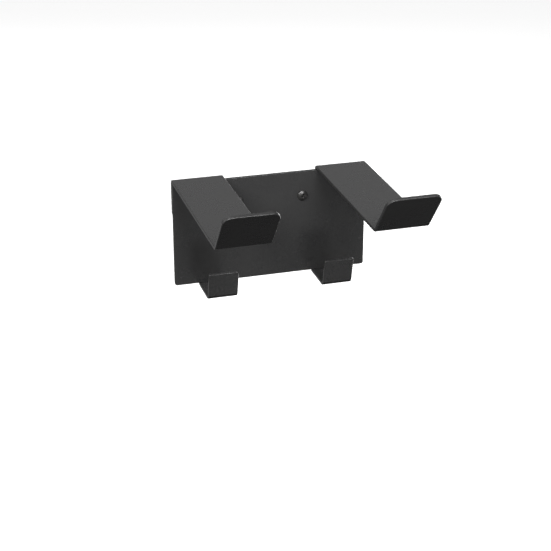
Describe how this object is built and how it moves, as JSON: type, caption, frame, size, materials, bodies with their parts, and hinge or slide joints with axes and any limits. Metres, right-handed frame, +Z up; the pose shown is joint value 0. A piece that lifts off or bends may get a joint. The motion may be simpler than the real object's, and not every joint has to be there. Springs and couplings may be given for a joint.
{
  "type": "hair dryer holder",
  "caption": "Black powder-coated steel wall holder that cradles a hair dryer on flat arms with raised lips, with small upturned hooks below for tools or a cord.",
  "frame": {"origin": "on the wall's surface, midway between the two wall screws", "axes": "+X to the viewer's right along the wall, +Y into the wall along the screws, +Z up"},
  "size_m": [0.156, 0.1936, 0.1217],
  "materials": {
    "black_coat": "satin black powder coat with a faint orange peel",
    "weld_coat": "the same black powder coat over the rough crown of a plug weld",
    "foam": "matt dark grey closed-cell foam",
    "black_oxide": "semi-gloss black oxide on steel"
  },
  "bodies": {
    "root": {"back_plate": "black_coat", "left_cradle_arm": "black_coat", "right_cradle_arm": "black_coat", "left_hook": "black_coat", "right_hook": "black_coat", "left_arm_welds": "weld_coat", "right_arm_welds": "weld_coat", "left_hook_welds": "weld_coat", "right_hook_welds": "weld_coat", "left_wall_pad": "foam", "middle_wall_pad": "foam", "right_wall_pad": "foam", "left_wall_screw": "black_oxide", "right_wall_screw": "black_oxide"}
  },
  "joints": []
}
